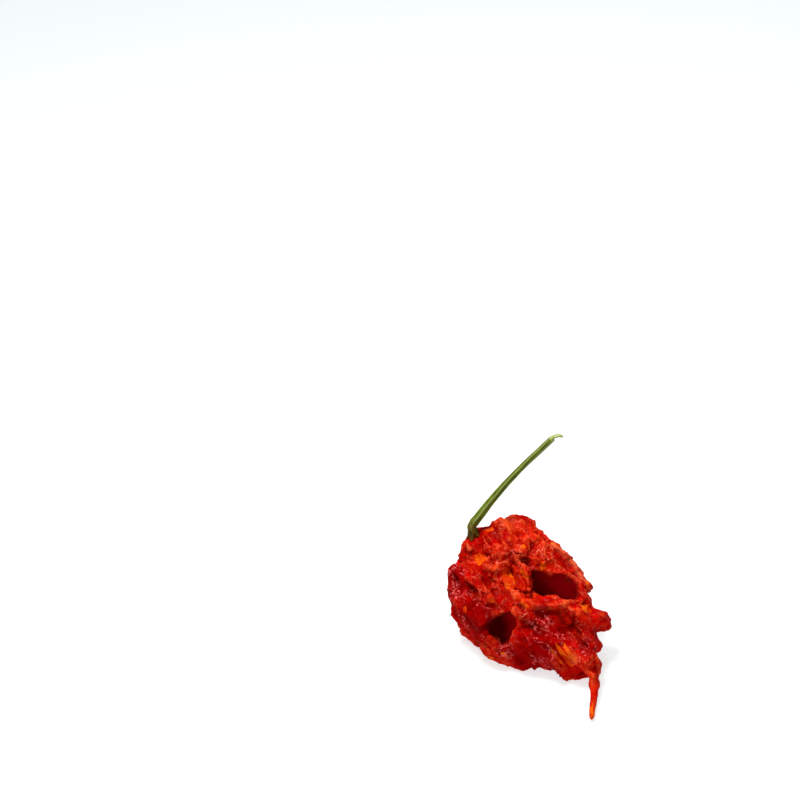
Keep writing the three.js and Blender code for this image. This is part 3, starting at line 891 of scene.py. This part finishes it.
# The stem's middle line from its foot to its cut end, from the low corner of its box: x, y, z and radius.
STEM_ROUTE = [
    (1.47, 1.3, 0.05, 1.3),
    (1.47, 1.7, 1.45, 1.3),
    (3.57, 2.5, 4.15, 1.24),
    (7.97, 3.8, 9.95, 1.04),
    (14.87, 5.0, 18.15, 0.88),
    (23.37, 5.6, 27.55, 0.84),
]
STRAND_ROUTE = [
    (22.87, 5.6, 27.15, 0.5),
    (24.0, 5.6, 28.1, 0.5),
    (25.3, 5.6, 28.4, 0.44),
    (26.17, 5.6, 28.1, 0.3),
]
ROUTE_SAMPLES = 60  # between two rows of a route, before they are spaced evenly
STEM_STEPS, STEM_SIDES = 220, 60
STRAND_STEPS, STRAND_SIDES = 40, 12
STEM_RIBS = 5
STEM_FIBRES = 17
COLLAR_AT, COLLAR_WIDTH = 1.6, 0.35  # the pinch above the stem's foot
FOOT_FROM, FOOT_TO = 0.8, 4.5  # where the foot's colour starts to fade, and where it ends
STEM_DISH = 0.25  # how far the cut end is sunk in its middle
STRAND_TORN = 0.8
STRAND_POINT = 0.1

CROWN_UP = (-0.16, 0.34, 0.93)
CALYX_RADIUS = 1.95
CALYX_TEETH = 5
CALYX_RINGS, CALYX_SIDES = 22, 120
CALYX_THICKNESS = 0.28
CALYX_EDGE = 0.15  # it is at least this thick
CALYX_HOLE = 0.25
CALYX_GAP = 0.05  # over the skin
CALYX_DROP = -1.2  # how low it hangs where no skin is under it
CALYX_COLLAR = 0.35  # how high it lies round the stem's foot
CROWN_CLEAR = 8  # rays down to the skin start this far above the foot


def route_through(rows, steps):
    """Even samples of a Catmull-Rom line through rows of x, y, z and radius, and how far along each is."""
    corner = np.array(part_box("stem")[0]) / MM
    rows = np.array(rows) + (*corner, 0)
    rows = np.vstack([2 * rows[0] - rows[1], rows, 2 * rows[-1] - rows[-2]])
    samples = []
    for i in range(1, len(rows) - 2):
        before, start, end, after = rows[i - 1 : i + 3]
        square = 2 * before - 5 * start + 4 * end - after
        cube = 3 * start - before - 3 * end + after
        for t in np.linspace(0, 1, ROUTE_SAMPLES, endpoint=False):
            samples.append(0.5 * (2 * start + (end - before) * t + square * t**2 + cube * t**3))
    samples.append(rows[-2])
    samples = np.array(samples)
    run = np.concatenate([[0], np.cumsum(np.linalg.norm(np.diff(samples[:, :3], axis=0), axis=1))])
    even = np.linspace(0, run[-1], steps + 1)
    return np.stack([np.interp(even, run, samples[:, i]) for i in range(4)], axis=1), even


def swept(rows, steps, sides, shape):
    """Points of rings along a route, with shape(run, turn, radius) as each one's distance from the line."""
    line, run = route_through(rows, steps)
    ahead = np.gradient(line[:, :3], axis=0)
    ahead /= np.linalg.norm(ahead, axis=1, keepdims=True)
    side = Vector(ahead[0]).orthogonal().normalized()
    turns = np.linspace(0, 2 * math.pi, sides, endpoint=False)
    rings = []
    for i in range(steps + 1):
        if i:
            turn_on = Vector(ahead[i - 1]).rotation_difference(Vector(ahead[i]))
            side = (turn_on @ side).normalized()
        over = Vector(ahead[i]).cross(side)
        reach = np.array([shape(run[i], turn, line[i, 3]) for turn in turns])
        spokes = np.outer(np.cos(turns), side) + np.outer(np.sin(turns), over)
        rings.append(line[i, :3] + spokes * reach[:, None])
    return rings, run, ahead


def tube_into(bm, rings, first_tip, last_tip):
    """A closed tube through rings of points, with a point in the middle of each end."""
    rows = [[bm.verts.new(Vector(point) * MM) for point in ring] for ring in rings]
    sides = len(rows[0])
    for near, far in zip(rows, rows[1:]):
        for n in range(sides):
            m = (n + 1) % sides
            bm.faces.new((near[n], near[m], far[m], far[n]))
    first, last = bm.verts.new(Vector(first_tip) * MM), bm.verts.new(Vector(last_tip) * MM)
    for n in range(sides):
        m = (n + 1) % sides
        bm.faces.new((first, rows[0][m], rows[0][n]))
        bm.faces.new((last, rows[-1][n], rows[-1][m]))
    return rows


def object_of(bm, name, finish, replaced):
    """Puts a finished piece in the scene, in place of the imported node."""
    mesh = bpy.data.meshes.new(name)
    bm.to_mesh(mesh)
    bm.free()
    mesh.materials.append(finish)
    mesh.shade_smooth()
    piece = bpy.data.objects.new(name, mesh)
    bpy.context.scene.collection.objects.link(piece)
    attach(piece, "root")
    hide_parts(replaced)


def make_stem():
    """The ribbed stalk with its cut end, and the strand torn off beside it."""
    bm = bmesh.new()
    ridge_layer = bm.verts.layers.float.new("ridge")
    foot_layer = bm.verts.layers.float.new("foot")
    torn_layer = bm.verts.layers.float.new("torn")

    def ribs(run, turn):
        twist = 0.018 * run + 0.35 * noise.noise(Vector((run * 0.12, 3.1, 0)))
        main = abs(math.cos(STEM_RIBS * (turn + twist) / 2)) ** 1.6
        drift = 2 * noise.noise(Vector((run * 0.3, turn, 7)))
        fine = 0.5 + 0.5 * math.cos(STEM_FIBRES * (turn + twist * 0.6) + drift)
        return 0.72 * main + 0.28 * fine

    def girth(run, turn, radius):
        knots = 0.05 * noise.noise(Vector((run * 0.35, math.cos(turn), math.sin(turn))))
        collar = 0.10 * math.exp(-(((run - COLLAR_AT) / COLLAR_WIDTH) ** 2))
        return radius * (0.90 + 0.17 * ribs(run, turn) + knots - collar)

    def strand_girth(run, turn, radius):
        return radius * (1 + 0.2 * math.cos(3 * turn))

    rings, run, ahead = swept(STEM_ROUTE, STEM_STEPS, STEM_SIDES, girth)
    turns = np.linspace(0, 2 * math.pi, STEM_SIDES, endpoint=False)
    end = rings[-1].mean(axis=0)
    rows = tube_into(bm, rings, rings[0].mean(axis=0), end - ahead[-1] * STEM_DISH)
    for i, row in enumerate(rows):
        for n, vert in enumerate(row):
            vert[ridge_layer] = ribs(run[i], turns[n])
            vert[foot_layer] = float(1 - eased(run[i], FOOT_FROM, FOOT_TO))
            vert[torn_layer] = float(eased(run[i], run[-1] - 0.5, run[-1] - 0.1))
    strand, _, direction = swept(STRAND_ROUTE, STRAND_STEPS, STRAND_SIDES, strand_girth)
    tip = strand[-1].mean(axis=0) + direction[-1] * STRAND_POINT
    for row in tube_into(bm, strand, strand[0].mean(axis=0), tip):
        for vert in row:
            vert[torn_layer] = STRAND_TORN
    object_of(bm, "stem_stalk", stem_finish(), "stem")


def make_calyx(pod):
    """A thin husk that lies on the crown round the stem's foot."""
    tree = tree_of(pod)
    foot = Vector(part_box("stem")[0]) / MM + Vector(STEM_ROUTE[0][:3])
    up = Vector(CROWN_UP)
    side = up.cross(Vector((0, 1, 0))).normalized()
    over = up.cross(side)
    bm = bmesh.new()
    rim_layer = bm.verts.layers.float.new("rim")

    def ground(r, turn):
        start = foot + up * CROWN_CLEAR + side * (r * math.cos(turn)) + over * (r * math.sin(turn))
        hit = tree.ray_cast(start, -up)[0]
        return (hit - foot).dot(up) if hit is not None else CALYX_DROP

    upper, lower = [], []
    for i in range(CALYX_RINGS + 1):
        share = i / CALYX_RINGS
        upper.append([])
        lower.append([])
        for n in range(CALYX_SIDES):
            turn = n / CALYX_SIDES * 2 * math.pi
            wobble = noise.noise(Vector((math.cos(turn) * 1.7, math.sin(turn) * 1.7, 4.2)))
            tooth = abs(math.cos(CALYX_TEETH * (turn + 0.25 * wobble) / 2)) ** 4
            reach = CALYX_RADIUS * (0.74 + 0.26 * tooth + 0.08 * wobble)
            r = CALYX_HOLE + share * (reach - CALYX_HOLE)
            level = ground(r, turn) + CALYX_GAP
            collar = 1 - eased(np.array(r), 1.15, 1.9)
            curl = 0.35 * share**6 * (0.5 + noise.noise(Vector((turn * 1.3, 9, 2))))
            pleats = 0.07 * math.cos(CALYX_TEETH * 3 * turn + wobble * 4) * eased(np.array(r), 0.9, 1.6)
            top = level + CALYX_THICKNESS + curl + float(pleats)
            top = top + (CALYX_COLLAR - top) * float(collar)
            across = side * (r * math.cos(turn)) + over * (r * math.sin(turn))
            upper[-1].append(foot + across + up * top)
            lower[-1].append(foot + across + up * min(level, top - CALYX_EDGE))
    grids = []
    for rows in (upper, lower):
        verts = [[bm.verts.new(point * MM) for point in row] for row in rows]
        for i, row in enumerate(verts):
            for vert in row:
                vert[rim_layer] = i / CALYX_RINGS
        grids.append(verts)
    for verts, flip in zip(grids, (False, True)):
        centre = bm.verts.new(sum((v.co for v in verts[0]), Vector()) / CALYX_SIDES)
        for n in range(CALYX_SIDES):
            m = (n + 1) % CALYX_SIDES
            face = (centre, verts[0][n], verts[0][m])
            bm.faces.new(face[::-1] if flip else face)
            for near, far in zip(verts, verts[1:]):
                face = (near[n], far[n], far[m], near[m])
                bm.faces.new(face[::-1] if flip else face)
    for n in range(CALYX_SIDES):
        m = (n + 1) % CALYX_SIDES
        bm.faces.new((grids[0][-1][n], grids[1][-1][n], grids[1][-1][m], grids[0][-1][m]))
    bmesh.ops.recalc_face_normals(bm, faces=bm.faces)
    object_of(bm, "calyx_husk", calyx_finish(), "calyx")


# ---- Floor and light ------------------------------------------------------------------------------------


FLOOR_REACH = 3  # metres
FLOOR_COLOUR = (0.35, 0.42, 0.42, 1)  # cool, against the pod's red light
FLOOR_GLOW = 0.68
SKY_STRENGTH = 0.2

# The lamps: name, place and width in millimetres, and watts.
LAMPS = [
    ("key", (-120, 40, 450), 130, 1.85),
    ("front", (-60, -420, 300), 30, 0.25),
    ("sparkle", (-150, -90, 430), 40, 5.0),
    ("top", (60, 260, 520), 420, 1.2),
]
GLOSS_ONLY = "sparkle"  # shows in the skin's glints and lights nothing else


def make_floor():
    bm = bmesh.new()
    bmesh.ops.create_grid(bm, x_segments=2, y_segments=2, size=FLOOR_REACH)
    mesh = bpy.data.meshes.new("floor")
    bm.to_mesh(mesh)
    bm.free()
    floor = bpy.data.objects.new("floor", mesh)
    bpy.context.scene.collection.objects.link(floor)
    finish = Finish("pale_floor")
    glow = {"Emission Color": WHITE, "Emission Strength": FLOOR_GLOW}
    mesh.materials.append(finish.done({"Base Color": FLOOR_COLOUR, "Roughness": 0.8, **glow}))
    floor.visible_glossy = False


def make_softbox(name, place, size, watts):
    """A square white lamp that faces the pepper."""
    data = bpy.data.lights.new(name, "AREA")
    data.size = size * MM
    data.energy = watts
    lamp = bpy.data.objects.new(name, data)
    bpy.context.scene.collection.objects.link(lamp)
    lamp.location = Vector(place) * MM
    lamp.rotation_mode = "QUATERNION"
    lamp.rotation_quaternion = (-lamp.location).to_track_quat("-Z", "Y")
    lamp.visible_diffuse = name != GLOSS_ONLY


def make_light():
    world = bpy.data.worlds.new("studio")
    bpy.context.scene.world = world
    world.use_nodes = True
    background = world.node_tree.nodes["Background"]
    background.inputs["Color"].default_value = WHITE
    background.inputs["Strength"].default_value = SKY_STRENGTH
    for lamp in LAMPS:
        make_softbox(*lamp)
    bpy.context.scene.view_settings.view_transform = "Standard"


make_floor()
make_light()
pod = make_pod()
make_calyx(pod)
make_stem()
